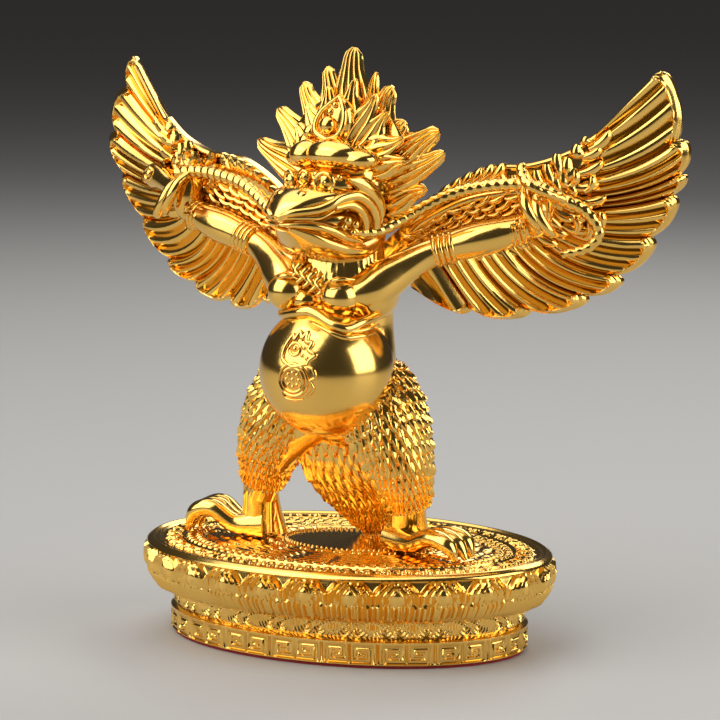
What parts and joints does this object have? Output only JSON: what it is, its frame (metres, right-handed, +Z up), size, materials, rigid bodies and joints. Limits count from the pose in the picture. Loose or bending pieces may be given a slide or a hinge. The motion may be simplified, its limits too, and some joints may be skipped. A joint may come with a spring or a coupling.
{
  "type": "garuda figure",
  "caption": "Gilt cast garuda with raised spread wings, flaming crown and a snake in its beak and hands, standing on an oval lotus plinth.",
  "frame": {"origin": "centre of the flat underside of the felt pad", "axes": "+Z up, -Y to the front of the plinth, +X to the figure's left"},
  "size_m": [0.1547, 0.0719, 0.1405],
  "materials": {
    "gold_plate": "polished gold plating over a cast alloy",
    "red_felt": "matte felt"
  },
  "bodies": {
    "root": {"felt_pad": "red_felt", "lotus_plinth": "gold_plate", "garuda_figure": "gold_plate"}
  },
  "joints": []
}
